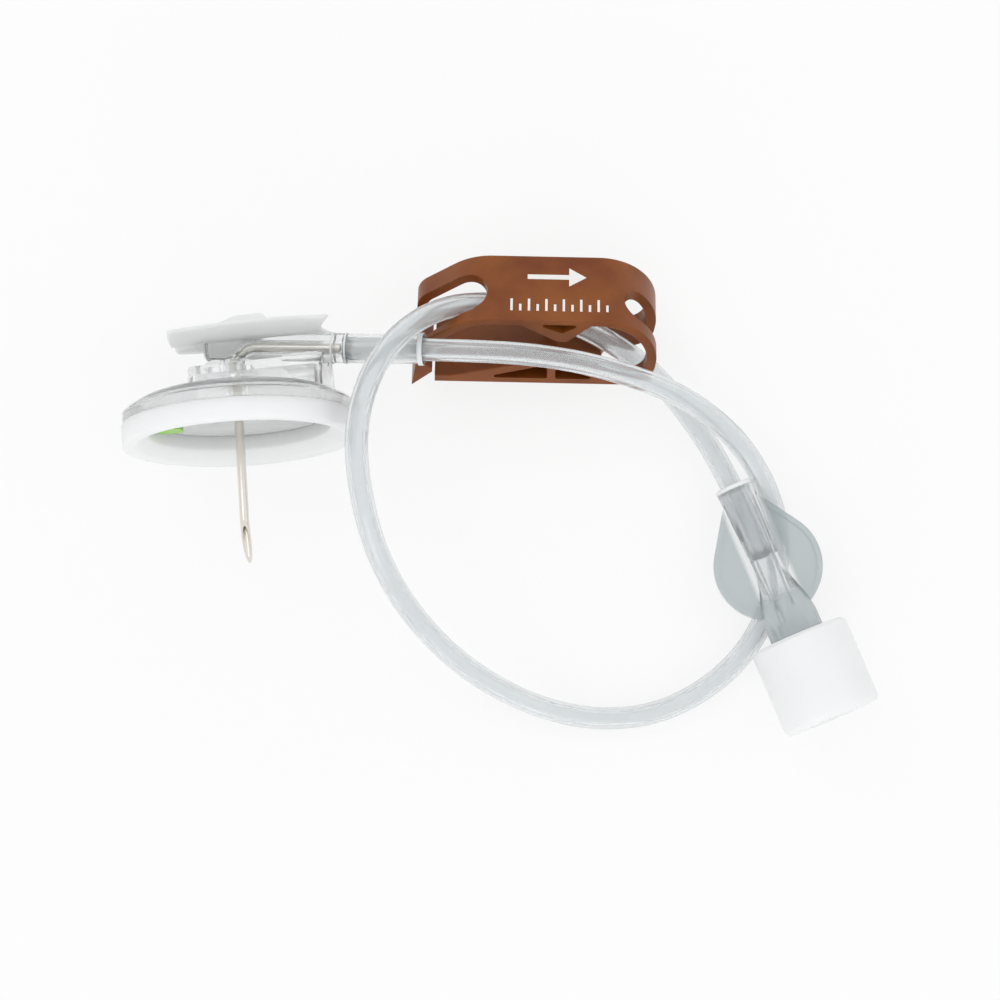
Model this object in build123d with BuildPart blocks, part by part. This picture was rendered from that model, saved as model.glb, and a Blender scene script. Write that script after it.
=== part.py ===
"""Safety Huber needle infusion set, lying on a table as it does after unpacking.

The bent needle, its winged hub and the round safety base are drawn upright, needle down, and
then laid on their side. The clamp and the luer connector are drawn in frames of their own.
+Z is up from the table. The origin is on the table, below the middle of the needle and its base.
"""

import os
from math import acos, cos, degrees, pi, radians, sin, tan

from build123d import *

# Steel cannula, 19 gauge, and how far it stands below the foam pad.
needle_d = 1.07
needle_bore_d = 0.78
needle_bend_r = 2.2
tip_bend_r = 8.8
needle_below_pad = 13.9
needle_tip_l = 4.8
needle_tip_lean = 3
needle_leg_inset = 0.4
glue_gap = 0.02
running_gap = 0.3

# Hub: a barrel round the flat leg and a stem round the upright leg.
barrel_d = 3.46
barrel_h = 11.4
barrel_back = 3.4
barrel_front = 12.9
barrel_edge_r = 0.4
nose_droop = 6.5
stem_d = 2.5
stem_l = 4.4
gusset_reach = 3.2
gusset_drop = 1.95
gusset_heel_h = 0.49
gusset_t = 1.6

# Soft wings with a finger tab on top.
wing_back = 6.5
wing_front = 10.4
wing_flare = 2.5
wing_half_span = 6.2
wing_rise = 5
wing_root_rise = 0.05
wing_root_t = 1.3
wing_edge_t = 0.6
wing_corner_r = 0.9
overcut = 1.0
saddle_wall = 0.75
saddle_back = 4.4
saddle_front = 7.2
saddle_foot = 0.35
tab_l = 4.9
tab_w = 3.2
tab_rise = 3.4
tab_x = 1.5
tab_r = 0.7

# Joiner sleeve and tubing.
tube_d = 2.6
tube_bore_d = 1.3
sleeve_d = 3.4
sleeve_l = 9.3
sleeve_lip_l = 0.6
sleeve_lip_t = 0.12
sleeve_fit = 0.02

# Safety base: foam ring, lower plate, domed shell, tiers and cradle.
base_r = 13.35
pad_w = 2.95
pad_h = 2.6
pad_inner_rise = 1.4
pad_flat_w = 1.0
pad_edge = 0.3
disc_centre_rise = 0.5
disc_t = 0.9
flange_h = 1.6
flange_w = 1.7
rim_edge = 0.3
dome_ledge = 0.65
dome_shoulder = 3.3
dome_top_h = 5.4
dome_bulge = 0.35
shell_t = 0.9
tier_back = 4.9
tier_front = 10.7
tier_half_w = 5.2
tier_drop = 3.0
tier_corner_r = 1.6
step_back = 3.2
step_front = 2.4
step_half_w = 3.4
step_drop = 2.2
stem_gap = 0.3
cradle_gap = 0.35
cradle_wall = 1.1
cradle_drop = 2.2
cradle_l = 4.6
clip_w = 3.0
clip_t = 0.25
clip_bend_r = 0.5
clip_reach = 3.2
clip_back = 1.7
clip_gap = 0.5
green_l = 2.8
green_w = 2.4
green_t = 0.6
green_corner_r = 0.6
green_inset = 1.9
green_y = 1.5

# How the needle and its base lie: tip raised, turned a little, nose turned up.
lay_tip_rise = 10.6
lay_turn = 4
lay_nose_turn = 7.5
lay_x = -3.93
lay_y = -0.70

# Pinch clamp: one moulding, its two arms joined by a round bend.
clamp_w = 9.8
clamp_h = 11.4
clamp_t = 1.15
clamp_edge_r = 0.2
clamp_half_l = 14.0
clamp_place = (30.22, 13.8, 8.2)
clamp_roll = 38
clamp_turn = -1.2
jaw_gap_mid = 0.2
jaw_gap = 3.1
jaw_to_hook = 2.2
rib_t = 0.95
nose_floor = 1.52
nose_x = 2.9
nose_w = 1.2
nose_back = 5.7
nose_front = 3.9
nose_pocket = 0.55
anvil_x = 1.8
anvil_front = 7.2
anvil_pocket_back = 8.0
anvil_pocket_front = 5.4
pocket_depth = 3.3
pocket_corner_r = 0.25
left_knee_l = 5.9
left_knee_h = 4.6
left_foot_r = 2.2
left_top_r = 6.5
right_bend_r = 6.3
right_foot_r = 3.0
right_top_out = 0.8
right_foot_in = 0.5
latch_l = 1.9
latch_ledge_z = 3.3
latch_ramp = 0.8
latch_step = 0.7
latch_drop = 0.8
latch_flare = 0.5
left_slot_w = 5.7
left_slot_l = 8.2
left_slot_offset = 0.6
left_slot_near = 4.5
left_slot_foot_z = -1.0
right_slot_w = 4.2
right_slot_offset = 1.0
right_slot_top_l = 4.0
right_slot_foot_l = 6.4

# Luer connector and its cap, along their own axis from the tubing's end.
socket_d = 4.5
waist_d = 3.5
waist_z = 9.4
luer_d = 6.5
luer_start_z = 17.0
luer_end_z = 25.4
luer_mouth_d = 4.3
luer_taper = 0.06
luer_depth = 8.6
lug_d = 7.8
lug_w = 2.4
lug_l = 1.6
channel_d = 1.8
socket_depth = 8.6
plate_r = 6.4
plate_z = 9.8
plate_t = 1.0
plate_rim_w = 0.6
plate_rim_h = 0.25
cap_d = 11.8
cap_z = 18.7
cap_l = 10.5
cap_wall = 1.4
cap_mouth_edge = 0.4
cap_end_d = 10.9
cap_taper_l = 0.5
cap_recess_d = 6.6
cap_recess_depth = 1.6
cap_plug_l = 5.5
cap_gap = 0.3
plug_gap = 0.06
connector_place = (53.67, -6.03, 3.5)
connector_heading = -67.2
connector_rise = 7.45

# The tubing's route: its first and last runs, and the corners of the loop between them.
first_run_l = 12.8
last_run_l = 12.0
loop_points = [
    (32.3, 9.3, 15.3),
    (42.0, 6.9, 13.8),
    (49.1, 3.8, 10.0),
    (55.1, -1.3, 4.2),
    (58.8, -8.5, 1.35),
    (59.1, -15.8, 1.35),
    (56.9, -22.8, 1.35),
    (52.1, -28.6, 1.35),
    (45.0, -32.6, 1.35),
    (37.1, -33.4, 1.35),
    (29.1, -31.3, 3.0),
    (21.7, -26.9, 6.6),
    (15.8, -20.7, 11.8),
    (12.1, -14.0, 18.0),
    (10.2, -6.8, 22.4),
    (9.6, 0.6, 23.6),
    (11.3, 7.3, 22.4),
    (15.2, 12.6, 18.5),
    (20.4, 15.4, 12.9),
    (27.1, 15.7, 9.0),
    (33.6, 13.9, 8.2),
    (39.5, 11.1, 5.6),
    (45.1, 7.1, 1.9),
]

os.makedirs("parts", exist_ok=True)


def on(frame, plane):
    """A drawing plane, such as Plane.XZ, as it lies in a piece's own frame."""
    return Plane(frame * plane.location)


# The upright frame of the needle and its base: its origin is on the needle's axis at the pad's
# foot, needle down, nose along +X. Lying, the base's rim rests on the table.
pad_hole_r = base_r - pad_w
dome_foot_r = base_r - dome_ledge
dome_top_r = dome_foot_r - dome_shoulder
rim_top_h = pad_h + flange_h
rest_h = rim_top_h - rim_edge
lay_z = base_r * cos(radians(lay_tip_rise)) + rest_h * sin(radians(lay_tip_rise))
hub = Pos(lay_x, lay_y, lay_z) * Rot(Z=lay_turn) * Rot(X=-90 - lay_tip_rise) * Rot(Z=-lay_nose_turn)
needle_axis = Axis(Plane(hub).origin, Plane(hub).z_dir)

# The barrel's own frame: +Z runs along the flat leg, out of the nose.
barrel = hub * Pos(0, 0, barrel_h) * Rot(Y=90 + nose_droop)
leg_end = barrel_front - needle_leg_inset
needle_path_points = [
    (needle_tip_l * sin(radians(needle_tip_lean)), -needle_below_pad),
    (0, needle_tip_l * cos(radians(needle_tip_lean)) - needle_below_pad),
    (0, barrel_h),
    (leg_end * cos(radians(nose_droop)), barrel_h - leg_end * sin(radians(nose_droop))),
]
needle_bends = [tip_bend_r, needle_bend_r]

# Needle: a bent tube, its tip ground on a long slant.
with BuildPart() as needle:
    with BuildLine(on(hub, Plane.XZ)) as needle_line:
        FilletPolyline(*needle_path_points, radius=needle_bends)
    needle_foot = Plane(needle_line.line @ 0, z_dir=needle_line.line % 0)
    with BuildSketch(needle_foot):
        Circle(needle_d / 2)
        Circle(needle_bore_d / 2, mode=Mode.SUBTRACT)
    sweep(path=needle_line.line)
    slant = degrees(acos(needle_tip_l / (needle_tip_l**2 + needle_d**2) ** 0.5))
    tip_x = needle_path_points[0][0]
    ground = hub * Pos(tip_x, needle_d / 2, -needle_below_pad) * Rot(X=90 + slant)
    split(bisect_by=Plane(ground), keep=Keep.BOTTOM)
needle.part.label = "needle"
export_step(needle.part, "parts/needle.step")

# Needle hub: clear barrel, stem and a small rib between them, moulded round the needle.
stem_foot_h = barrel_h - stem_l
gusset_foot_h = barrel_h - gusset_drop
with BuildPart() as needle_hub:
    with BuildSketch(on(barrel, Plane.XY.offset(-barrel_back))):
        Circle(barrel_d / 2)
    extrude(amount=barrel_back + barrel_front)
    fillet(needle_hub.edges().filter_by(GeomType.CIRCLE).sort_by(Axis.X)[0], barrel_edge_r)
    with BuildSketch(on(hub, Plane.XY.offset(stem_foot_h))):
        Circle(stem_d / 2)
    extrude(amount=barrel_h - stem_foot_h)
    with BuildSketch(on(hub, Plane.XZ.offset(-gusset_t / 2))):
        with BuildLine():
            Polyline(
                (-gusset_reach, barrel_h),
                (-gusset_reach, barrel_h - barrel_d / 2 + gusset_heel_h),
                (-stem_d / 2, gusset_foot_h),
                (0, gusset_foot_h),
                (0, barrel_h),
                close=True,
            )
        make_face()
    extrude(amount=gusset_t)
    with BuildSketch(needle_foot):
        Circle(needle_d / 2 + glue_gap)
    sweep(path=needle_line.line, mode=Mode.SUBTRACT)
    with BuildSketch(on(barrel, Plane.XY.offset(barrel_front))):
        Circle(needle_d / 2 + glue_gap)
    extrude(amount=-2 * needle_leg_inset, mode=Mode.SUBTRACT)
needle_hub.part.label = "needle_hub"
export_step(needle_hub.part, "parts/needle_hub.step")

# Wings: a soft plate that rises to both sides, with a saddle and a finger tab over the barrel.
wing_root_h = barrel_h + wing_root_rise
wing_tip_drop = wing_half_span * tan(radians(wing_rise))
tab_top_h = barrel_h + tab_rise
with BuildPart() as wings:
    with BuildSketch(on(hub, Plane.YZ.offset(-wing_back - overcut))):
        with BuildLine():
            wing_half = Polyline(
                (0, wing_root_h),
                (wing_half_span, wing_root_h + wing_tip_drop),
                (wing_half_span, wing_root_h + wing_tip_drop + wing_edge_t),
                (0, wing_root_h + wing_root_t),
            )
            mirror(wing_half, about=Plane.YZ)
        make_face()
    extrude(amount=wing_back + wing_front + wing_flare + 2 * overcut)
    with BuildSketch(on(hub, Plane.XY.offset(wing_root_h - overcut))) as wing_plan:
        with BuildLine():
            Line((-wing_back, -wing_half_span), (-wing_back, wing_half_span))
            Line((-wing_back, wing_half_span), (wing_front + wing_flare, wing_half_span))
            ThreePointArc(
                (wing_front + wing_flare, wing_half_span),
                (wing_front, 0),
                (wing_front + wing_flare, -wing_half_span),
            )
            Line((wing_front + wing_flare, -wing_half_span), (-wing_back, -wing_half_span))
        make_face()
        fillet(wing_plan.vertices(), wing_corner_r)
    extrude(amount=wing_half_span, mode=Mode.INTERSECT)
    with BuildSketch(on(barrel, Plane.XY.offset(-saddle_back))):
        Circle(barrel_d / 2 + saddle_wall)
    extrude(amount=saddle_back + saddle_front)
    with BuildSketch(on(hub, Plane.XY.offset(barrel_h))):
        with Locations((tab_x, 0)):
            RectangleRounded(tab_l, tab_w, tab_r)
    extrude(amount=tab_top_h - barrel_h)
    below_wings = on(hub, Plane.XY.offset(wing_root_h - saddle_foot))
    split(bisect_by=below_wings, keep=Keep.TOP)
    with BuildSketch(on(barrel, Plane.XY.offset(-barrel_back - glue_gap))):
        Circle(barrel_d / 2 + glue_gap)
    extrude(amount=barrel_back + 2 * wing_front, mode=Mode.SUBTRACT)
wings.part.label = "wings"
export_step(wings.part, "parts/wings.step")

# Joiner sleeve: butts on the nose and is bonded over the tubing.
with BuildPart() as joiner_sleeve:
    with BuildSketch(on(barrel, Plane.XY.offset(barrel_front))):
        Circle(sleeve_d / 2)
        Circle(tube_d / 2 + sleeve_fit, mode=Mode.SUBTRACT)
    extrude(amount=sleeve_l)
    with BuildSketch(on(barrel, Plane.XY.offset(barrel_front + sleeve_l - sleeve_lip_l))):
        Circle(sleeve_d / 2 + sleeve_lip_t)
        Circle(tube_d / 2 + sleeve_fit, mode=Mode.SUBTRACT)
    extrude(amount=sleeve_lip_l)
joiner_sleeve.part.label = "joiner_sleeve"
export_step(joiner_sleeve.part, "parts/joiner_sleeve.step")

# Foam pad: a ring whose underside rises to its hole, glued to the base's flange.
under_h = pad_h + disc_centre_rise
with BuildPart() as foam_pad:
    with BuildSketch(on(hub, Plane.XZ)):
        with BuildLine():
            Polyline(
                (base_r - pad_edge - pad_flat_w, 0),
                (base_r - pad_edge, 0),
                (base_r, pad_edge),
                (base_r, pad_h),
                (pad_hole_r, under_h),
                (pad_hole_r, pad_inner_rise),
                close=True,
            )
        make_face()
    revolve(axis=needle_axis)
foam_pad.part.label = "foam_pad"
export_step(foam_pad.part, "parts/foam_pad.step")

# Base disc: flat plate with a thick flange and a hole for the needle.
needle_hole_r = needle_d / 2 + running_gap
with BuildPart() as base_disc:
    with BuildSketch(on(hub, Plane.XZ)):
        with BuildLine():
            Polyline(
                (needle_hole_r, under_h),
                (pad_hole_r, under_h),
                (base_r, pad_h),
                (base_r, rest_h),
                (base_r - rim_edge, rim_top_h),
                (base_r - flange_w, rim_top_h),
                (base_r - flange_w, under_h + disc_t),
                (needle_hole_r, under_h + disc_t),
                close=True,
            )
        make_face()
    revolve(axis=needle_axis)
base_disc.part.label = "base_disc"
export_step(base_disc.part, "parts/base_disc.step")

# Base housing: domed shell, two tiers, and a cradle that the nose lies in.
dome_mid = ((dome_foot_r + dome_top_r) / 2 + dome_bulge, (rim_top_h + dome_top_h) / 2 + dome_bulge)
inner_foot_r = dome_foot_r - shell_t
inner_top_r = dome_top_r - shell_t
inner_top_h = dome_top_h - shell_t
inner_mid = (dome_mid[0] - shell_t, dome_mid[1] - shell_t / 2)
tier_top_h = barrel_h - tier_drop
step_top_h = barrel_h - step_drop
cradle_top_h = barrel_h - cradle_drop
tier_l = tier_back + tier_front
tier_mid_x = (tier_front - tier_back) / 2
step_l = step_back + step_front
step_mid_x = (step_front - step_back) / 2
nose_room_r = barrel_d / 2 + cradle_gap
with BuildPart() as base_housing:
    with BuildSketch(on(hub, Plane.XZ)):
        with BuildLine():
            Line((0, rim_top_h), (dome_foot_r, rim_top_h))
            ThreePointArc((dome_foot_r, rim_top_h), dome_mid, (dome_top_r, dome_top_h))
            Line((dome_top_r, dome_top_h), (0, dome_top_h))
            Line((0, dome_top_h), (0, rim_top_h))
        make_face()
    revolve(axis=needle_axis)
    with BuildSketch(on(hub, Plane.XY.offset(rim_top_h))):
        with Locations((tier_mid_x, 0)):
            RectangleRounded(tier_l, 2 * tier_half_w, tier_corner_r)
    extrude(amount=tier_top_h - rim_top_h)
    with BuildSketch(on(hub, Plane.XY.offset(rim_top_h))):
        with Locations((step_mid_x, 0)):
            RectangleRounded(step_l, 2 * step_half_w, tier_corner_r)
    extrude(amount=step_top_h - rim_top_h)
    with BuildSketch(on(hub, Plane.XY.offset(rim_top_h))):
        with Locations((tier_front - cradle_l / 2, 0)):
            Rectangle(cradle_l, 2 * (nose_room_r + cradle_wall))
    extrude(amount=cradle_top_h - rim_top_h)
    with BuildSketch(on(hub, Plane.XZ)):
        with BuildLine():
            Line((0, rim_top_h), (inner_foot_r, rim_top_h))
            ThreePointArc((inner_foot_r, rim_top_h), inner_mid, (inner_top_r, inner_top_h))
            Line((inner_top_r, inner_top_h), (0, inner_top_h))
            Line((0, inner_top_h), (0, rim_top_h))
        make_face()
    revolve(axis=needle_axis, mode=Mode.SUBTRACT)
    with BuildSketch(on(hub, Plane.XY.offset(rim_top_h))):
        with Locations((tier_mid_x, 0)):
            RectangleRounded(tier_l - 2 * shell_t, 2 * (tier_half_w - shell_t), tier_corner_r - shell_t)
    extrude(amount=tier_top_h - shell_t - rim_top_h, mode=Mode.SUBTRACT)
    with BuildSketch(on(hub, Plane.XY.offset(rim_top_h))):
        Circle(stem_d / 2 + stem_gap)
    extrude(amount=cradle_top_h - rim_top_h, mode=Mode.SUBTRACT)
    with BuildSketch(on(barrel, Plane.XY)):
        with Locations((-nose_room_r, 0)):
            Rectangle(2 * nose_room_r, 2 * nose_room_r)
        Circle(nose_room_r)
    extrude(amount=2 * barrel_front, mode=Mode.SUBTRACT)
base_housing.part.label = "base_housing"
export_step(base_housing.part, "parts/base_housing.step")

# Tip clip: a bent steel leaf that stands on the plate, its two legs holed for the needle.
clip_foot_h = under_h + disc_t
clip_h = stem_foot_h - clip_gap - clip_foot_h
with BuildPart() as tip_clip:
    with BuildSketch(on(hub, Plane.XZ.offset(-clip_w / 2))):
        with BuildLine() as clip_line:
            FilletPolyline(
                (-clip_back, clip_foot_h + clip_t / 2),
                (clip_reach, clip_foot_h + clip_t / 2),
                (clip_reach, clip_foot_h + clip_h - clip_t / 2),
                (-clip_back / 2, clip_foot_h + clip_h - clip_t / 2),
                radius=min(clip_bend_r, (clip_h - clip_t) / 3),
            )
        trace(clip_line.line, line_width=clip_t)
    extrude(amount=clip_w)
    with BuildSketch(on(hub, Plane.XY.offset(clip_foot_h - clip_t))):
        Circle(needle_hole_r)
    extrude(amount=clip_h + 2 * clip_t, mode=Mode.SUBTRACT)
tip_clip.part.label = "tip_clip"
export_step(tip_clip.part, "parts/tip_clip.step")

# Lock indicator: a small green tab on the plate's underside.
with BuildPart() as lock_indicator:
    with BuildSketch(on(hub, Plane.XY.offset(under_h - green_t))):
        with Locations((green_inset - pad_hole_r, green_y)):
            RectangleRounded(green_l, green_w, green_corner_r)
    extrude(amount=green_t)
lock_indicator.part.label = "lock_indicator"
export_step(lock_indicator.part, "parts/lock_indicator.step")

# Pinch clamp, in its own frame: +X along it, +Z out of the wide top face.
clamp = Pos(*clamp_place) * Rot(Z=clamp_turn) * Rot(X=-clamp_roll)
arm_z = (clamp_h - clamp_t) / 2
bend_x = clamp_half_l - clamp_t / 2
jaw_reach = clamp_half_l - jaw_to_hook
latch_face_x = clamp_half_l - latch_l
left_slot_x = left_slot_l - clamp_half_l
nose_z = jaw_gap_mid + jaw_gap / 2
anvil_z = jaw_gap_mid - jaw_gap / 2
pocket_top_z = clamp_h / 2 - rib_t
pocket_foot_z = rib_t - clamp_h / 2
with BuildPart() as pinch_clamp:
    with BuildSketch(on(clamp, Plane.XZ)):
        with BuildLine() as arm_line:
            FilletPolyline(
                (-bend_x, -latch_ledge_z),
                (-bend_x, arm_z - left_knee_h),
                (left_knee_l - bend_x, arm_z),
                (bend_x + right_top_out, arm_z),
                (bend_x - right_foot_in, -arm_z),
                (-jaw_reach, -arm_z),
                radius=[left_foot_r, left_top_r, right_bend_r, right_foot_r],
            )
        trace(arm_line.line, line_width=clamp_t)
        with BuildLine():
            Polyline(
                (-clamp_half_l, latch_step - latch_ledge_z),
                (-clamp_half_l - latch_flare, -clamp_h / 2 - latch_drop),
                (-latch_face_x, -latch_ledge_z - latch_ramp),
                (-latch_face_x, -latch_ledge_z),
                (clamp_t - clamp_half_l, latch_step - latch_ledge_z),
                close=True,
            )
        make_face()
        with BuildLine():
            Polyline(
                (nose_x - nose_back, arm_z),
                (nose_x - nose_w / 2, nose_z),
                (nose_x + nose_w / 2, nose_z),
                (nose_x + nose_front, arm_z),
                close=True,
            )
        make_face()
        with BuildLine():
            Polyline(
                (-jaw_reach, -arm_z),
                (anvil_x - nose_w / 2, anvil_z),
                (anvil_x + nose_w / 2, anvil_z),
                (anvil_x + anvil_front, -arm_z),
                close=True,
            )
        make_face()
    extrude(amount=clamp_w / 2, both=True)
    clamp_across = Axis(Plane(clamp).origin, Plane(clamp).y_dir)
    fillet(pinch_clamp.faces().filter_by(clamp_across).edges(), clamp_edge_r)
    for side in (-1, 1):
        pocket_floor = Plane.XZ.offset(side * (clamp_w / 2 - pocket_depth))
        with BuildSketch(on(clamp, pocket_floor)) as pockets:
            with BuildLine():
                Polyline(
                    (nose_x - nose_back * nose_pocket, pocket_top_z),
                    (nose_x + nose_front * nose_pocket, pocket_top_z),
                    (nose_x, nose_z + nose_floor),
                    close=True,
                )
            make_face()
            with BuildLine():
                Polyline(
                    (anvil_x - rib_t / 2, pocket_foot_z),
                    (anvil_x - rib_t / 2, anvil_z - rib_t),
                    (anvil_x - anvil_pocket_back, pocket_foot_z),
                    close=True,
                )
            make_face()
            with BuildLine():
                Polyline(
                    (anvil_x + rib_t / 2, pocket_foot_z),
                    (anvil_x + rib_t / 2, anvil_z - rib_t),
                    (anvil_x + anvil_pocket_front, pocket_foot_z),
                    close=True,
                )
            make_face()
            fillet(pockets.vertices(), pocket_corner_r)
        extrude(amount=side * pocket_depth, mode=Mode.SUBTRACT)
    with BuildSketch(on(clamp, Plane.XY.offset(left_slot_foot_z))):
        slot_r = left_slot_w / 2
        with Locations((left_slot_x - slot_r, -left_slot_offset)):
            Circle(slot_r)
        with BuildLine():
            Polyline(
                (left_slot_x - slot_r, slot_r - left_slot_offset),
                (-2 * clamp_half_l, slot_r - left_slot_offset),
                (-2 * clamp_half_l, -left_slot_near),
                (-clamp_half_l, -left_slot_near),
                (left_slot_x - slot_r, -slot_r - left_slot_offset),
                close=True,
            )
        make_face()
    extrude(amount=clamp_h, mode=Mode.SUBTRACT)
    with BuildSketch(on(clamp, Plane.XY)):
        with Locations((2 * clamp_half_l - right_slot_top_l, -right_slot_offset)):
            SlotOverall(2 * clamp_half_l, right_slot_w)
    extrude(amount=clamp_h, mode=Mode.SUBTRACT)
    with BuildSketch(on(clamp, Plane.XY)):
        with Locations((2 * clamp_half_l - right_slot_foot_l, -right_slot_offset)):
            SlotOverall(2 * clamp_half_l, right_slot_w)
    extrude(amount=-clamp_h, mode=Mode.SUBTRACT)
pinch_clamp.part.label = "pinch_clamp"
export_step(pinch_clamp.part, "parts/pinch_clamp.step")

# Luer connector, in its own frame: +Z runs from the tubing's end to the luer mouth.
connector = Pos(*connector_place) * Rot(Z=connector_heading) * Rot(Y=90 - connector_rise)
connector_axis = Axis(Plane(connector).origin, Plane(connector).z_dir)
luer_mouth_r = luer_mouth_d / 2
luer_root_z = luer_end_z - luer_depth
luer_root_r = luer_mouth_r - luer_taper * luer_depth / 2
with BuildPart() as luer_connector:
    with BuildSketch(on(connector, Plane.XZ)):
        with BuildLine():
            Line((0, 0), (socket_d / 2, 0))
            Line((socket_d / 2, 0), (waist_d / 2, waist_z))
            Spline(
                (waist_d / 2, waist_z),
                (luer_d / 2, luer_start_z),
                tangents=((0, 1), (0, 1)),
            )
            Polyline(
                (luer_d / 2, luer_start_z),
                (luer_d / 2, luer_end_z),
                (0, luer_end_z),
                (0, 0),
            )
        make_face()
    revolve(axis=connector_axis)
    with BuildSketch(on(connector, Plane.YZ)):
        with Locations((0, plate_z)):
            Circle(plate_r)
        with Locations((0, socket_d / 2)):
            Circle(socket_d / 2)
        make_hull()
    extrude(amount=plate_t / 2, both=True)
    with BuildSketch(on(connector, Plane.YZ)):
        with Locations((0, plate_z)):
            Circle(plate_r)
        with Locations((0, socket_d / 2)):
            Circle(socket_d / 2)
        make_hull()
        offset(amount=-plate_rim_w, mode=Mode.SUBTRACT)
    extrude(amount=plate_t / 2 + plate_rim_h, both=True)
    with BuildSketch(on(connector, Plane.XY.offset(luer_end_z - lug_l))):
        Rectangle(lug_w, lug_d)
        Circle(lug_d / 2, mode=Mode.INTERSECT)
    extrude(amount=lug_l)
    with BuildSketch(on(connector, Plane.XZ)):
        with BuildLine():
            Polyline(
                (0, 0),
                (tube_d / 2 + sleeve_fit, 0),
                (tube_d / 2 + sleeve_fit, socket_depth),
                (channel_d / 2, socket_depth),
                (channel_d / 2, luer_root_z),
                (luer_root_r, luer_root_z),
                (luer_mouth_r, luer_end_z),
                (0, luer_end_z),
                close=True,
            )
        make_face()
    revolve(axis=connector_axis, mode=Mode.SUBTRACT)
luer_connector.part.label = "luer_connector"
export_step(luer_connector.part, "parts/luer_connector.step")

# Cap: a plain white sleeve with a plug in the middle that fits the luer.
cap_end_z = cap_z + cap_l
cap_floor_z = luer_end_z + cap_gap
plug_tip_z = cap_floor_z - cap_plug_l
plug_tip_r = luer_mouth_r - luer_taper / 2 * (luer_end_z - plug_tip_z) - plug_gap
plug_root_r = luer_mouth_r + luer_taper / 2 * (cap_floor_z - luer_end_z) - plug_gap
with BuildPart() as luer_cap:
    with BuildSketch(on(connector, Plane.XZ)):
        with BuildLine():
            Polyline(
                (0, plug_tip_z),
                (plug_tip_r, plug_tip_z),
                (plug_root_r, cap_floor_z),
                (lug_d / 2 + cap_gap, cap_floor_z),
                (lug_d / 2 + cap_gap, cap_z),
                (cap_d / 2 - cap_mouth_edge, cap_z),
                (cap_d / 2, cap_z + cap_mouth_edge),
                (cap_d / 2, cap_end_z - cap_taper_l),
                (cap_end_d / 2, cap_end_z),
                (cap_recess_d / 2, cap_end_z),
                (cap_recess_d / 2, cap_end_z - cap_recess_depth),
                (0, cap_end_z - cap_recess_depth),
                close=True,
            )
        make_face()
    revolve(axis=connector_axis)
luer_cap.part.label = "luer_cap"
export_step(luer_cap.part, "parts/luer_cap.step")

# Tubing: one loop. It leaves the nose, passes in front of the clamp, falls to the table under
# the connector's plate, climbs over the sleeve, runs through the clamp and back to the connector.
nose_end = (barrel * Pos(0, 0, barrel_front)).position
past_sleeve = (barrel * Pos(0, 0, barrel_front + first_run_l)).position
before_socket = (connector * Pos(0, 0, socket_depth - last_run_l)).position
in_socket = (connector * Pos(0, 0, socket_depth)).position
route = [nose_end, past_sleeve, *[Vector(*point) for point in loop_points], before_socket, in_socket]


def corner_radii(points):
    """The largest arc that each corner of a route leaves room for."""
    radii = []
    for before, corner, after in zip(points, points[1:], points[2:]):
        turn = (corner - before).get_angle(after - corner)
        shorter = min((corner - before).length, (after - corner).length)
        radii.append(0.45 * shorter / tan(radians(turn / 2)))
    return radii


bends = corner_radii(route)
with BuildPart() as extension_tubing:
    with BuildLine() as tube_line:
        FilletPolyline(*route, radius=bends)
    with BuildSketch(Plane(tube_line.line @ 0, z_dir=tube_line.line % 0)):
        Circle(tube_d / 2)
        Circle(tube_bore_d / 2, mode=Mode.SUBTRACT)
    sweep(path=tube_line.line)
extension_tubing.part.label = "extension_tubing"
export_step(extension_tubing.part, "parts/extension_tubing.step")
tube_section = pi / 4 * (tube_d**2 - tube_bore_d**2)
tube_l = sum(edge.length for edge in tube_line.edges())
print("tubing length", round(tube_l, 1), "mm")
print("tubing volume over section times length", round(extension_tubing.part.volume / tube_section / tube_l, 4))
print("tubing radii", [round(bend, 1) for bend in bends])
print("runs", [round((b - a).length, 1) for a, b in zip(route, route[1:])])
print("ends", nose_end, past_sleeve, before_socket, in_socket)
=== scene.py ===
"""Dresses the Huber needle set for its picture: a safety needle with wings and a round foam base,
its looped tubing with a pinch clamp, and the capped luer connector, all lying on a pale table.
"""
from math import cos, pi, radians, sin, sqrt, tan

import bmesh
import bpy
from mathutils import Euler, Matrix, Vector


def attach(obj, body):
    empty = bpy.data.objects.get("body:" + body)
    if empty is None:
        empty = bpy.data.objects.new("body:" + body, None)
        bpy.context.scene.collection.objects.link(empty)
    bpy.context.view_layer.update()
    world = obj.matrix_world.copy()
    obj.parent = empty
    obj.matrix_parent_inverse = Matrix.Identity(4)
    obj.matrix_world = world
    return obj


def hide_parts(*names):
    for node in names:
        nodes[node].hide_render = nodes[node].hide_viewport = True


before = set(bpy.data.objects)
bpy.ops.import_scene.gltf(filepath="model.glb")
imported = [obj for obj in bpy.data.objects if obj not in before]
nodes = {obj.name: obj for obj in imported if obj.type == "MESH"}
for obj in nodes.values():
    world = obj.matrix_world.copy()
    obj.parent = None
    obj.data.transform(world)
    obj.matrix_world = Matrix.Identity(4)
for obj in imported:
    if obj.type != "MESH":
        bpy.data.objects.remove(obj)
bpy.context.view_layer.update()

# The table, the light and the camera. The picture is a product shot straight down on to white
# paper, under large soft boxes, so the paper shows near white and the shadows are faint.
PAPER = "#F7F7F6"
PAPER_Z = -0.0001
OWN_WHITE = 0.8
CAMERA_HEIGHT = 0.400
CAMERA_OVER = (0.02592, -0.00721)
LENS = 120.96


def linear(code):
    """An sRGB hex colour as the linear values that a shader takes."""
    parts = [int(code[i:i + 2], 16) / 255 for i in (1, 3, 5)]
    return [c / 12.92 if c <= 0.04045 else ((c + 0.055) / 1.055) ** 2.4 for c in parts] + [1]


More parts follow.
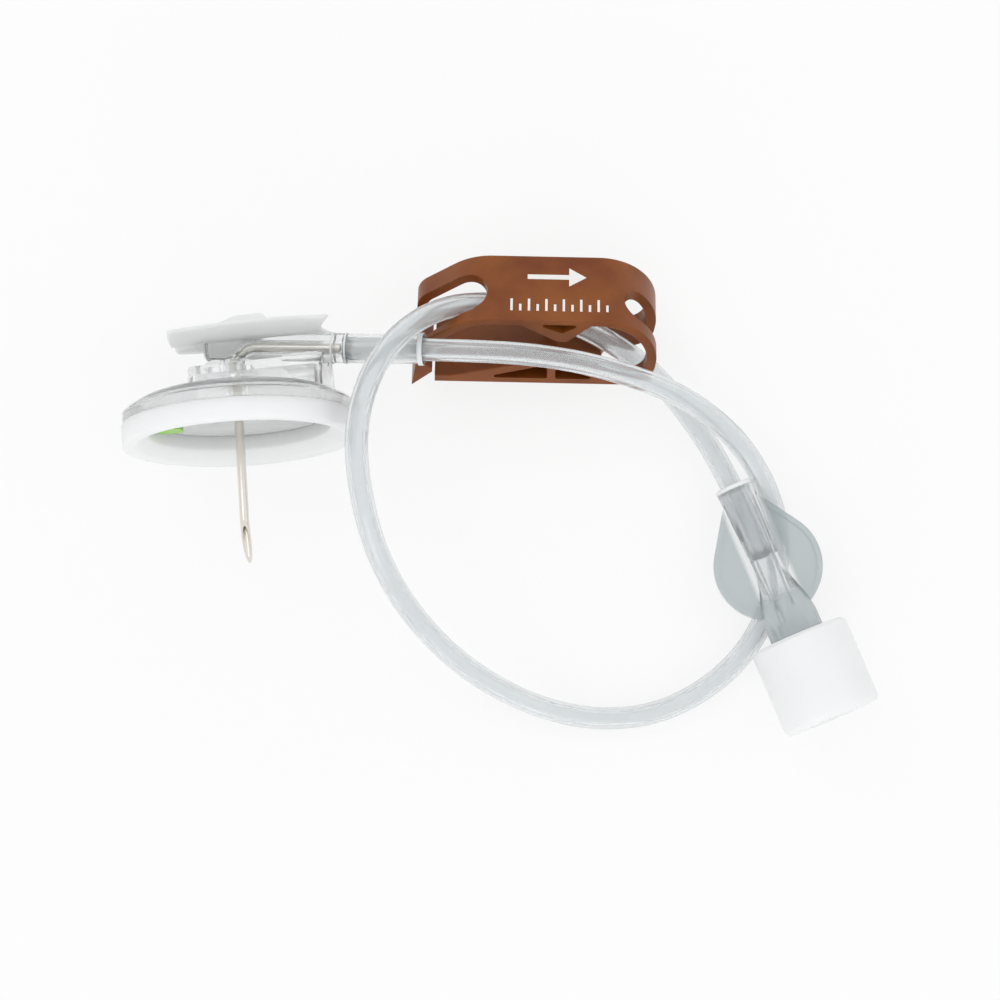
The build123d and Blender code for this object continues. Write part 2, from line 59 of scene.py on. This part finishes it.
def add_node(tree, kind, inputs=None, links=None, **settings):
    """Adds a shader node: settings by name, input values, and links from (node, output)."""
    node = tree.nodes.new(kind)
    for name, value in settings.items():
        setattr(node, name, value)
    for name, value in (inputs or {}).items():
        node.inputs[name].default_value = value
    for name, (source, output) in (links or {}).items():
        tree.links.new(source.outputs[output], node.inputs[name])
    return node


def new_material(name):
    """An empty node material and its output node."""
    material = bpy.data.materials.new(name)
    material.use_nodes = True
    material.node_tree.nodes.clear()
    output = add_node(material.node_tree, "ShaderNodeOutputMaterial")
    return material, material.node_tree, output


def noise(tree, period, detail=2.0):
    """Soft noise on a piece's own coordinates, its blotches about period metres apart."""
    place = add_node(tree, "ShaderNodeTexCoord")
    links = {"Vector": (place, "Object")}
    return add_node(tree, "ShaderNodeTexNoise", {"Scale": 1 / period, "Detail": detail}, links)


def between(tree, source, low, high):
    """Spreads a pattern's 0 to 1 over the values from low to high."""
    return add_node(tree, "ShaderNodeMapRange", {"To Min": low, "To Max": high}, {0: (source, 0)})


def two_tone(tree, source, dark, light):
    """Turns a pattern into a ramp from a dark to a light sRGB hex colour."""
    ramp = add_node(tree, "ShaderNodeValToRGB", links={0: (source, 0)})
    ramp.color_ramp.elements[0].color = linear(dark)
    ramp.color_ramp.elements[1].color = linear(light)
    return ramp


def bumps(tree, source, strength, distance=0.0001):
    """Turns a pattern into a faint relief, distance metres high at full strength."""
    inputs = {"Strength": strength, "Distance": distance}
    return add_node(tree, "ShaderNodeBump", inputs, {"Height": (source, 0)})


def add_surface(tree, output, inputs, links):
    """Ends a material with a principled shader; each link takes a node's first output."""
    links = {name: (source, 0) for name, source in links.items()}
    surface = add_node(tree, "ShaderNodeBsdfPrincipled", inputs, links)
    tree.links.new(surface.outputs[0], output.inputs["Surface"])


def add_piece(name, shape, material, place=None, smooth=True):
    """Turns a bmesh into an object with one material, moved to its place."""
    bmesh.ops.recalc_face_normals(shape, faces=shape.faces)
    for face in shape.faces:
        face.smooth = smooth
    mesh = bpy.data.meshes.new(name)
    shape.to_mesh(mesh)
    shape.free()
    if place:
        mesh.transform(place)
    mesh.materials.append(material)
    piece = bpy.data.objects.new(name, mesh)
    bpy.context.scene.collection.objects.link(piece)
    return piece


def rounded(corners, radii, steps=5):
    """A closed outline whose corners are rounded, or sharp where the radius is nought."""
    outline = []
    for i, (corner, radius) in enumerate(zip(corners, radii)):
        corner = Vector(corner)
        start = corner + radius * (Vector(corners[i - 1]) - corner).normalized()
        end = corner + radius * (Vector(corners[(i + 1) % len(corners)]) - corner).normalized()
        shares = [k / steps for k in range(steps + 1)] if radius else [0]
        outline += [(1 - t) ** 2 * start + 2 * t * (1 - t) * corner + t ** 2 * end for t in shares]
    return outline


def add_turned(shape, outline, sides, place=None):
    """Adds a solid turned about the Z axis from an outline of radii and heights."""
    rings = []
    for k in range(sides):
        turn = 2 * pi * k / sides
        points = [Vector((r * cos(turn), r * sin(turn), h)) for r, h in outline]
        rings.append([shape.verts.new(place @ point if place else point) for point in points])
    for ring, following in zip(rings, rings[1:] + rings[:1]):
        for i in range(len(outline)):
            n = (i + 1) % len(outline)
            shape.faces.new((ring[i], ring[n], following[n], following[i]))


bpy.context.scene.view_settings.view_transform = "Standard"
bpy.context.scene.cycles.max_bounces = 28
bpy.context.scene.cycles.glossy_bounces = 16
bpy.context.scene.cycles.transmission_bounces = 24
camera_data = bpy.data.cameras.new("camera")
camera_data.lens = LENS
camera_data.sensor_width = 36
camera_data.clip_start = 0.01
camera = bpy.data.objects.new("camera", camera_data)
camera.location = (*CAMERA_OVER, CAMERA_HEIGHT)
bpy.context.scene.collection.objects.link(camera)
bpy.context.scene.camera = camera

# Seen directly, in a reflection or through clear plastic, the paper mostly shows its own white.
# For the light that it throws back on the pieces it is plain matt paper.
paper_material, tree, output = new_material("white_backing_paper")
rays = add_node(tree, "ShaderNodeLightPath")
seen = rays, "Is Camera Ray"
for kind in ("Is Glossy Ray", "Is Transmission Ray"):
    seen = add_node(tree, "ShaderNodeMath", links={0: seen, 1: (rays, kind)}, operation="MAXIMUM"), 0
seen = add_node(tree, "ShaderNodeMath", {1: OWN_WHITE}, {0: seen}, operation="MULTIPLY")
matt = add_node(tree, "ShaderNodeBsdfDiffuse", {"Color": linear(PAPER)})
white = add_node(tree, "ShaderNodeEmission", {"Color": (1, 1, 1, 1), "Strength": 1.0})
paper_mix = add_node(tree, "ShaderNodeMixShader", links={0: (seen, 0), 1: (matt, 0), 2: (white, 0)})
tree.links.new(paper_mix.outputs[0], output.inputs["Surface"])

shape = bmesh.new()
bmesh.ops.create_grid(shape, x_segments=1, y_segments=1, size=1.5)
paper = add_piece("paper", shape, paper_material)
paper.location = (*CAMERA_OVER, PAPER_Z)

world = bpy.data.worlds.new("studio")
world.use_nodes = True
world.node_tree.nodes.clear()
tree = world.node_tree
output = add_node(tree, "ShaderNodeOutputWorld")
place = add_node(tree, "ShaderNodeTexCoord")
split = add_node(tree, "ShaderNodeSeparateXYZ", links={0: (place, "Generated")})
height = add_node(
    tree, "ShaderNodeMapRange",
    {"From Min": -0.1, "From Max": 0.6, "To Min": 0.74, "To Max": 0.88}, {0: (split, "Z")},
)
sky = add_node(tree, "ShaderNodeBackground", {"Color": linear("#F7F8F9")}, {"Strength": (height, 0)})
tree.links.new(sky.outputs[0], output.inputs["Surface"])
bpy.context.scene.world = world


def add_soft_box(name, place, size, power):
    """A square lamp that faces the middle of the table."""
    data = bpy.data.lights.new(name, "AREA")
    data.size = size
    data.energy = power
    lamp = bpy.data.objects.new(name, data)
    lamp.location = place
    aim = Vector((*CAMERA_OVER, 0)) - Vector(place)
    lamp.rotation_euler = aim.to_track_quat("-Z", "Y").to_euler()
    bpy.context.scene.collection.objects.link(lamp)


add_soft_box("key_box", (-0.35, 0.45, 0.75), 0.5, 1.0)
add_soft_box("fill_box", (0.65, 0.10, 0.60), 0.4, 0.4)
add_soft_box("edge_box", (0.0, -0.70, 0.35), 0.35, 0.8)

# Extension tubing: clear plasticised PVC, extruded, 2.6 mm outside and 1.3 mm inside. It is bonded
# in the joiner sleeve, makes one loose loop through the pinch clamp, and ends in the connector.
TUBE_D = 0.0026
TUBE_BORE_D = 0.0013
TUBE_SIDES = 28
STEPS_PER_POINT = 14
tube_points = [
    (0.00804, 0.01024, 0.01366),
    (0.02070, 0.01000, 0.01555),
    (0.0323, 0.0093, 0.0153),
    (0.0420, 0.0069, 0.0138),
    (0.0491, 0.0038, 0.01),
    (0.0551, -0.0013, 0.0042),
    (0.0588, -0.0085, 0.00135),
    (0.0591, -0.0158, 0.00135),
    (0.0569, -0.0228, 0.00135),
    (0.0521, -0.0286, 0.00135),
    (0.0450, -0.0326, 0.00135),
    (0.0371, -0.0334, 0.00135),
    (0.0291, -0.0313, 0.003),
    (0.0217, -0.0269, 0.0066),
    (0.0158, -0.0207, 0.0118),
    (0.0121, -0.0140, 0.018),
    (0.0102, -0.0068, 0.0224),
    (0.0096, 0.0006, 0.0236),
    (0.0113, 0.0073, 0.0224),
    (0.0152, 0.0126, 0.0185),
    (0.0204, 0.0154, 0.0129),
    (0.0271, 0.0157, 0.009),
    (0.0336, 0.0139, 0.0082),
    (0.0395, 0.0111, 0.0056),
    (0.0451, 0.0071, 0.0019),
    (0.05236, -0.00292, 0.00306),
    (0.05697, -0.01389, 0.00462),
]

route_data = bpy.data.curves.new("tubing_route", "CURVE")
route_data.dimensions = "3D"
spline = route_data.splines.new("NURBS")
spline.points.add(len(tube_points) - 1)
for knot, point in zip(spline.points, tube_points):
    knot.co = (*point, 1)
spline.order_u = 3
spline.use_endpoint_u = True
spline.resolution_u = STEPS_PER_POINT
route = bpy.data.objects.new("tubing_route", route_data)
bpy.context.scene.collection.objects.link(route)
bpy.context.view_layer.update()
route_mesh = bpy.data.meshes.new_from_object(route)
tube_path = [vertex.co.copy() for vertex in route_mesh.vertices]
bpy.data.objects.remove(route)
bpy.data.meshes.remove(route_mesh)


def tube_shape(path, outer_d, inner_d, sides):
    """A round tube along a path, with its bore and its cut ends."""
    shape = bmesh.new()
    before = (path[1] - path[0]).normalized()
    across = before.orthogonal().normalized()
    rings = []
    for i, point in enumerate(path):
        ahead = path[min(i + 1, len(path) - 1)] - path[max(i - 1, 0)]
        across = (before.rotation_difference(ahead.normalized()) @ across).normalized()
        before = ahead.normalized()
        other = before.cross(across)
        turns = [2 * pi * k / sides for k in range(sides)]
        spokes = [cos(turn) * across + sin(turn) * other for turn in turns]
        outer = [shape.verts.new(point + outer_d / 2 * spoke) for spoke in spokes]
        inner = [shape.verts.new(point + inner_d / 2 * spoke) for spoke in spokes]
        rings.append((outer, inner))
    for (outer_a, inner_a), (outer_b, inner_b) in zip(rings, rings[1:]):
        for k in range(sides):
            n = (k + 1) % sides
            shape.faces.new((outer_a[k], outer_a[n], outer_b[n], outer_b[k]))
            shape.faces.new((inner_a[n], inner_a[k], inner_b[k], inner_b[n]))
    for outer, inner in (rings[0], rings[-1]):
        for k in range(sides):
            n = (k + 1) % sides
            shape.faces.new((outer[k], inner[k], inner[n], outer[n]))
    return shape


# Plasticised PVC is clear with a faint grey cast and a slightly greasy gloss; long, soft draw
# marks run along it, drawn here at 0.8 mm, coarser than the real ones so that they show.
pvc_tubing, tree, output = new_material("plasticised_pvc_tubing")
haze = noise(tree, 0.0008)
add_surface(
    tree, output,
    {"Base Color": linear("#F9FCFD"), "IOR": 1.50, "Transmission Weight": 0.80},
    {"Roughness": between(tree, haze, 0.12, 0.22), "Normal": bumps(tree, haze, 0.06)},
)

shape = tube_shape(tube_path, TUBE_D, TUBE_BORE_D, TUBE_SIDES)
tubing = add_piece("tubing", shape, pvc_tubing)
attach(tubing, "needle_set")
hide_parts("extension_tubing")


def finish_node(node, material, edge=0.0, segments=2):
    """Gives a CAD node its material in every slot and, with an edge, rounds its corners."""
    for slot in node.material_slots:
        slot.material = material
    if edge:
        weld = node.modifiers.new("joined_faces", "WELD")
        weld.merge_threshold = 0.000001
        bevel = node.modifiers.new("moulded_edges", "BEVEL")
        bevel.width = edge
        bevel.segments = segments
        bevel.limit_method = "ANGLE"
        bevel.angle_limit = radians(40)
        bevel.harden_normals = True


# Pinch clamp: one moulding of brown acetal that the tubing is threaded through. Its nose pinches
# the tubing on the anvil when the long arm is latched under the hook.
acetal, tree, output = new_material("brown_moulded_acetal")
flow = noise(tree, 0.006, 3.0)
tone = two_tone(tree, flow, "#763812", "#90501E")
tone.color_ramp.elements[0].position = 0.30
tone.color_ramp.elements[1].position = 0.70
skin = noise(tree, 0.0004)
add_surface(
    tree, output, {"IOR": 1.48, "Specular IOR Level": 0.35},
    {
        "Base Color": tone, "Roughness": between(tree, flow, 0.30, 0.44),
        "Normal": bumps(tree, skin, 0.10, 0.00005),
    },
)
finish_node(nodes["pinch_clamp"], acetal)

# Print on the clamp: thin white ink, a flow arrow over a row of ticks. The marks are plain ones
# that say nothing, in place of the lettering that the real clamp has there.
CLAMP_FRAME = (
    Matrix.Translation((0.03022, 0.0138, 0.0082))
    @ Matrix.Rotation(radians(-1.2), 4, "Z")
    @ Matrix.Rotation(radians(-38), 4, "X")
)
CLAMP_TOP_H = 0.0057
INK_T = 0.00003
ARROW_START = -0.0012
ARROW_NECK = 0.0036
ARROW_TIP = 0.0056
ARROW_Y = 0.0016
SHAFT_HALF_W = 0.00035
HEAD_HALF_W = 0.0014
TICK_START = -0.0030
TICK_STEP = 0.0010
TICK_COUNT = 12
TICK_HALF_W = 0.00014
TICK_FOOT_Y = -0.0036
SHORT_TICK = 0.0010
LONG_TICK = 0.0018

marks = [[
    (ARROW_START, ARROW_Y - SHAFT_HALF_W), (ARROW_NECK, ARROW_Y - SHAFT_HALF_W),
    (ARROW_NECK, ARROW_Y - HEAD_HALF_W), (ARROW_TIP, ARROW_Y),
    (ARROW_NECK, ARROW_Y + HEAD_HALF_W), (ARROW_NECK, ARROW_Y + SHAFT_HALF_W),
    (ARROW_START, ARROW_Y + SHAFT_HALF_W),
]]
for i in range(TICK_COUNT):
    x = TICK_START + i * TICK_STEP
    head = TICK_FOOT_Y + (SHORT_TICK if i % 2 else LONG_TICK)
    marks.append([
        (x - TICK_HALF_W, TICK_FOOT_Y), (x + TICK_HALF_W, TICK_FOOT_Y),
        (x + TICK_HALF_W, head), (x - TICK_HALF_W, head),
    ])
shape = bmesh.new()
for outline in marks:
    foot = [shape.verts.new((x, y, CLAMP_TOP_H)) for x, y in outline]
    top = [shape.verts.new((x, y, CLAMP_TOP_H + INK_T)) for x, y in outline]
    shape.faces.new(foot)
    shape.faces.new(top)
    for i in range(len(outline)):
        n = (i + 1) % len(outline)
        shape.faces.new((foot[i], foot[n], top[n], top[i]))

white_ink, tree, output = new_material("white_pad_print_ink")
speck = noise(tree, 0.0002)
add_surface(tree, output, {"Roughness": 0.5}, {"Base Color": two_tone(tree, speck, "#F1EDE8", "#FDFCFA")})
print_marks = add_piece("print_marks", shape, white_ink, CLAMP_FRAME, smooth=False)
print_marks.parent = nodes["pinch_clamp"]

# Clear polycarbonate: the injection moulded plastic of the hub, the sleeve and the safety base,
# all but colourless, with the faint unevenness of a moulded surface.
polycarbonate, tree, output = new_material("clear_polycarbonate")
haze = noise(tree, 0.0011)
add_surface(
    tree, output,
    {"Base Color": linear("#FEFFFF"), "IOR": 1.50, "Transmission Weight": 0.92},
    {"Roughness": between(tree, haze, 0.05, 0.14), "Normal": bumps(tree, haze, 0.05)},
)

# Luer connector: the same resin, with a flat drop-shaped finger plate. The tubing is bonded in its
# socket. The plate and the skirt, farther from its axis than the polished socket, are moulded matt.
SOCKET_PLACE = (0.05367, -0.00603, 0.0035)
SOCKET_TURN = (0, radians(90 - 7.45), radians(-67.2))
POLISHED_R = 0.0023
MATT_R = 0.0028

frosted_resin, tree, output = new_material("frosted_polycarbonate")
place = add_node(tree, "ShaderNodeTexCoord")
on_axis = add_node(
    tree, "ShaderNodeMapping", {"Location": SOCKET_PLACE, "Rotation": SOCKET_TURN},
    {"Vector": (place, "Object")}, vector_type="TEXTURE",
)
flat = add_node(tree, "ShaderNodeVectorMath", {1: (1, 1, 0)}, {0: (on_axis, 0)}, operation="MULTIPLY")
reach = add_node(tree, "ShaderNodeVectorMath", links={0: (flat, 0)}, operation="LENGTH")
frost = add_node(
    tree, "ShaderNodeMapRange", {"From Min": POLISHED_R, "From Max": MATT_R}, {0: (reach, "Value")},
)
haze = noise(tree, 0.0011)
add_surface(
    tree, output, {"IOR": 1.50},
    {
        "Base Color": two_tone(tree, frost, "#F9FBFC", "#D3DBDC"),
        "Roughness": between(tree, frost, 0.08, 0.20),
        "Transmission Weight": between(tree, frost, 0.90, 0.68),
        "Normal": bumps(tree, haze, 0.05),
    },
)
finish_node(nodes["luer_connector"], frosted_resin)

# Cap: white polyethylene, a plain moulded sleeve with a plug inside. It screws on to the lugs.
polyethylene, tree, output = new_material("white_polyethylene")
cloud = noise(tree, 0.0045, 3.0)
add_surface(
    tree, output,
    {
        "Roughness": 0.42, "IOR": 1.51, "Subsurface Weight": 0.25, "Subsurface Scale": 0.0015,
        "Subsurface Radius": (1, 1, 1),
    },
    {"Base Color": two_tone(tree, cloud, "#F4F5F5", "#FCFCFC"), "Normal": bumps(tree, cloud, 0.08)},
)
finish_node(nodes["luer_cap"], polyethylene, edge=0.0003, segments=3)

# Needle: drawn stainless steel tube, bent square, its non-coring tip ground and polished.
stainless, tree, output = new_material("drawn_stainless_steel")
draw = noise(tree, 0.0006)
add_surface(
    tree, output, {"Base Color": linear("#EDE8DF"), "Metallic": 1.0},
    {"Roughness": between(tree, draw, 0.30, 0.42), "Normal": bumps(tree, draw, 0.05, 0.00003)},
)
finish_node(nodes["needle"], stainless)
finish_node(nodes["tip_clip"], stainless)

# Needle hub and joiner sleeve: the same clear polycarbonate, moulded round the needle's flat leg.
finish_node(nodes["needle_hub"], polycarbonate)
finish_node(nodes["joiner_sleeve"], polycarbonate)

# Wings: soft milky PVC, moulded over the hub. One sheet arches over the barrel, thins towards its
# tips, is bowed a little as soft wings are, and carries a finger tab that ramps up to its front.
HUB_FRAME = (
    Matrix.Translation((-0.00393, -0.00070, 0.01384))
    @ Matrix.Rotation(radians(4), 4, "Z")
    @ Matrix.Rotation(radians(-90 - 10.6), 4, "X")
    @ Matrix.Rotation(radians(-7.5), 4, "Z")
)
BARREL_H = 0.0114
BARREL_R = 0.00175
BARREL_BACK = 0.0034
NOSE_DROOP = radians(6.5)
WING_BACK = 0.0065
WING_BACK_BOW = 0.0009
WING_FRONT = 0.0104
WING_FLARE = 0.0019
WING_HALF_SPAN = 0.0062
WING_ROOT_H = 0.01145
WING_ROOT_T = 0.0013
WING_TIP_T = 0.0005
THINS_FROM = 0.2
WING_RISE = radians(5)
NEAR_BOW = 0.0002
NEAR_CREST = 0.0004
FAR_BOW = 0.0007
FAR_DIP = 0.0006
FAR_SWEEP = 0.0009
EDGE_W = 0.00035
SADDLE_R = 0.00248
SADDLE_BACK = -0.0044
SADDLE_FRONT = 0.0078
SADDLE_FADE = 0.00105
TAB_TOP_H = 0.0148
TAB_BACK = -0.0030
TAB_RAMP = 0.0008
TAB_FRONT = 0.00395
TAB_HALF_W = 0.0016
SOFT_BLEND = 0.0003
WING_STEPS_ALONG = 130
WING_STEPS_ACROSS = 110


def smooth_step(start, end, value):
    """Rises smoothly from 0 at start to 1 at end."""
    t = min(max((value - start) / (end - start), 0), 1)
    return t * t * (3 - 2 * t)


def higher(a, b, blend):
    """The higher of two heights, with a smooth hollow of about the blend's size between them."""
    return (a + b + sqrt((a - b) ** 2 + blend ** 2)) / 2


def dome(width, reach):
    """The height of a round arch of a given radius, at a distance from its middle."""
    return sqrt(max(width ** 2 - reach ** 2, 0)) - 2 * max(abs(reach) - width, 0)


def wing_heights(x, y, along, edge):
    """The underside and the top of the wings at a place in the hub's own frame."""
    out = abs(y) / WING_HALF_SPAN
    crest = sin(pi * along)
    bow = (FAR_BOW - FAR_DIP * crest if y > 0 else NEAR_BOW + NEAR_CREST * crest) * out ** 2
    under = WING_ROOT_H + abs(y) * tan(WING_RISE) + bow
    thick = WING_ROOT_T + (WING_TIP_T - WING_ROOT_T) * smooth_step(THINS_FROM, 1, out)
    axis = BARREL_H - x * tan(NOSE_DROOP)
    on_barrel = smooth_step(SADDLE_BACK - SOFT_BLEND, -BARREL_BACK, x)
    over = higher(under, axis + dome(BARREL_R, y) - (1 - on_barrel) * BARREL_R, SOFT_BLEND)
    in_saddle = on_barrel * (1 - smooth_step(SADDLE_FRONT - SADDLE_FADE, SADDLE_FRONT, x))
    crown = axis + dome(SADDLE_R, y) - (1 - in_saddle) * SADDLE_R
    top = higher(under + thick, crown, SOFT_BLEND)
    ramp = smooth_step(TAB_BACK, TAB_RAMP, x) * (1 - smooth_step(TAB_FRONT - EDGE_W, TAB_FRONT, x))
    side = 1 - smooth_step(TAB_HALF_W - EDGE_W, TAB_HALF_W + EDGE_W, abs(y))
    top += max(TAB_TOP_H - top, 0) * ramp * side
    top = max(top, over + WING_TIP_T / 2)
    middle = (over + top) / 2
    return middle + (over - middle) * edge, middle + (top - middle) * edge


def edge_share(reach):
    """How thick the sheet is at a distance from its rim, as a share: its rim is half round."""
    return sqrt(1 - (1 - min(max(reach / EDGE_W, 0), 1)) ** 2)


shape = bmesh.new()
wing_grid = []
for i in range(WING_STEPS_ALONG + 1):
    along = (1 - cos(pi * i / WING_STEPS_ALONG)) / 2
    row = []
    for k in range(WING_STEPS_ACROSS + 1):
        out = -cos(pi * k / WING_STEPS_ACROSS)
        y = out * WING_HALF_SPAN
        back = -WING_BACK - WING_BACK_BOW * (1 - out ** 2) - FAR_SWEEP * max(out, 0) ** 2
        front = WING_FRONT + WING_FLARE * out ** 2
        x = back + along * (front - back)
        edge = edge_share(min(x - back, front - x)) * edge_share(WING_HALF_SPAN - abs(y))
        low, high = wing_heights(x, y, along, edge)
        under = shape.verts.new((x, y, low))
        rim = edge < 0.001
        row.append((under, under if rim else shape.verts.new((x, y, high))))
    wing_grid.append(row)
for row, following in zip(wing_grid, wing_grid[1:]):
    for k in range(WING_STEPS_ACROSS):
        for side in (0, 1):
            corners = [row[k][side], row[k + 1][side], following[k + 1][side], following[k][side]]
            shape.faces.new(corners)

soft_pvc, tree, output = new_material("milky_soft_pvc")
cloud = noise(tree, 0.0038, 3.0)
add_surface(
    tree, output,
    {
        "Roughness": 0.34, "IOR": 1.50, "Subsurface Weight": 1.0, "Subsurface Scale": 0.006,
        "Subsurface Radius": (1, 1, 1),
    },
    {"Base Color": two_tone(tree, cloud, "#F3F3F0", "#FCFCFB"), "Normal": bumps(tree, cloud, 0.10)},
)
soft_wings = add_piece("soft_wings", shape, soft_pvc, HUB_FRAME)
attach(soft_wings, "needle_set")
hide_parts("wings")

# Bond rings: where the tubing is bonded in, cured adhesive and the sleeve's ground ends show as
# pale rings: two by the nose, one at the sleeve's lip and a bead at the connector's socket. A ring
# is given by its start and end along the axis, and its inner and outer radius.
BARREL_FRAME = (
    HUB_FRAME @ Matrix.Translation((0, 0, BARREL_H)) @ Matrix.Rotation(pi / 2 + NOSE_DROOP, 4, "Y")
)
SOCKET_FRAME = Matrix.Translation(SOCKET_PLACE) @ Euler(SOCKET_TURN).to_matrix().to_4x4()
RING_SIDES = 64
RING_SOFTNESS = 0.4
NOSE_RING = (0.01150, 0.01172, 0.00174, 0.00181)
SLEEVE_RING = (0.01305, 0.01327, 0.00171, 0.00178)
LIP_RING = (0.02162, 0.02218, 0.00183, 0.00188)
SOCKET_BEAD = (-0.00055, -0.00002, 0.00133, 0.00233)

shape = bmesh.new()
for place, (start, end, inner_r, outer_r) in (
    (BARREL_FRAME, NOSE_RING), (BARREL_FRAME, SLEEVE_RING),
    (BARREL_FRAME, LIP_RING), (SOCKET_FRAME, SOCKET_BEAD),
):
    soft_r = RING_SOFTNESS * min(end - start, outer_r - inner_r)
    corners = [(inner_r, start), (outer_r, start), (outer_r, end), (inner_r, end)]
    add_turned(shape, rounded(corners, [0, soft_r, soft_r, 0]), RING_SIDES, place)

cured_adhesive, tree, output = new_material("cured_adhesive")
cloud = noise(tree, 0.0006)
add_surface(
    tree, output, {"Roughness": 0.35, "IOR": 1.48, "Transmission Weight": 0.05},
    {"Base Color": two_tone(tree, cloud, "#F2F5F6", "#FFFFFF")},
)
bond_rings = add_piece("bond_rings", shape, cured_adhesive)
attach(bond_rings, "needle_set")

# Safety base: a clear polycarbonate disc and housing that slide down the needle after use.
finish_node(nodes["base_disc"], polycarbonate)
finish_node(nodes["base_housing"], polycarbonate)

# Lock indicator: a small tab of green polypropylene that shows when the tip is locked in.
green_pp, tree, output = new_material("green_polypropylene")
cloud = noise(tree, 0.002)
add_surface(
    tree, output, {"Roughness": 0.35, "IOR": 1.49},
    {"Base Color": two_tone(tree, cloud, "#8CCB45", "#A6DC63")},
)
finish_node(nodes["lock_indicator"], green_pp)

# Foam pad: a ring of white closed-cell polyethylene foam, die cut and glued to the disc. Its
# underside rises to the hole, and its cut edges are a little rounded where they have been handled.
PAD_R = 0.0135
PAD_HOLE_R = 0.0104
PAD_H = 0.0026
PAD_INNER_RISE = 0.0014
PAD_TOP_AT_HOLE = 0.0031
PAD_FLAT_W = 0.0010
PAD_EDGE_R = 0.0004
PAD_CUT_R = 0.0002
PAD_TURNS = 160
PORE = 0.00022

pad_corners = [
    (PAD_R - PAD_FLAT_W - PAD_EDGE_R, 0),
    (PAD_R, 0),
    (PAD_R, PAD_H),
    (PAD_HOLE_R, PAD_TOP_AT_HOLE),
    (PAD_HOLE_R, PAD_INNER_RISE),
]
pad_outline = rounded(pad_corners, [PAD_EDGE_R, PAD_EDGE_R, PAD_CUT_R, PAD_CUT_R, PAD_CUT_R])
shape = bmesh.new()
add_turned(shape, pad_outline, PAD_TURNS)

pe_foam, tree, output = new_material("closed_cell_polyethylene_foam")
place = add_node(tree, "ShaderNodeTexCoord")
cells = add_node(
    tree, "ShaderNodeTexVoronoi", {"Scale": 1 / PORE, "Randomness": 1.0},
    {"Vector": (place, "Object")},
)
cloud = noise(tree, 0.0033)
add_surface(
    tree, output,
    {
        "Roughness": 0.75, "IOR": 1.3, "Subsurface Weight": 0.7, "Subsurface Scale": 0.003,
        "Subsurface Radius": (1, 1, 1),
    },
    {
        "Base Color": two_tone(tree, cloud, "#F6F7F7", "#FEFEFE"),
        "Normal": bumps(tree, cells, 0.18, 0.00008),
    },
)
pad = add_piece("pad", shape, pe_foam, HUB_FRAME)
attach(pad, "safety_base")
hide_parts("foam_pad")
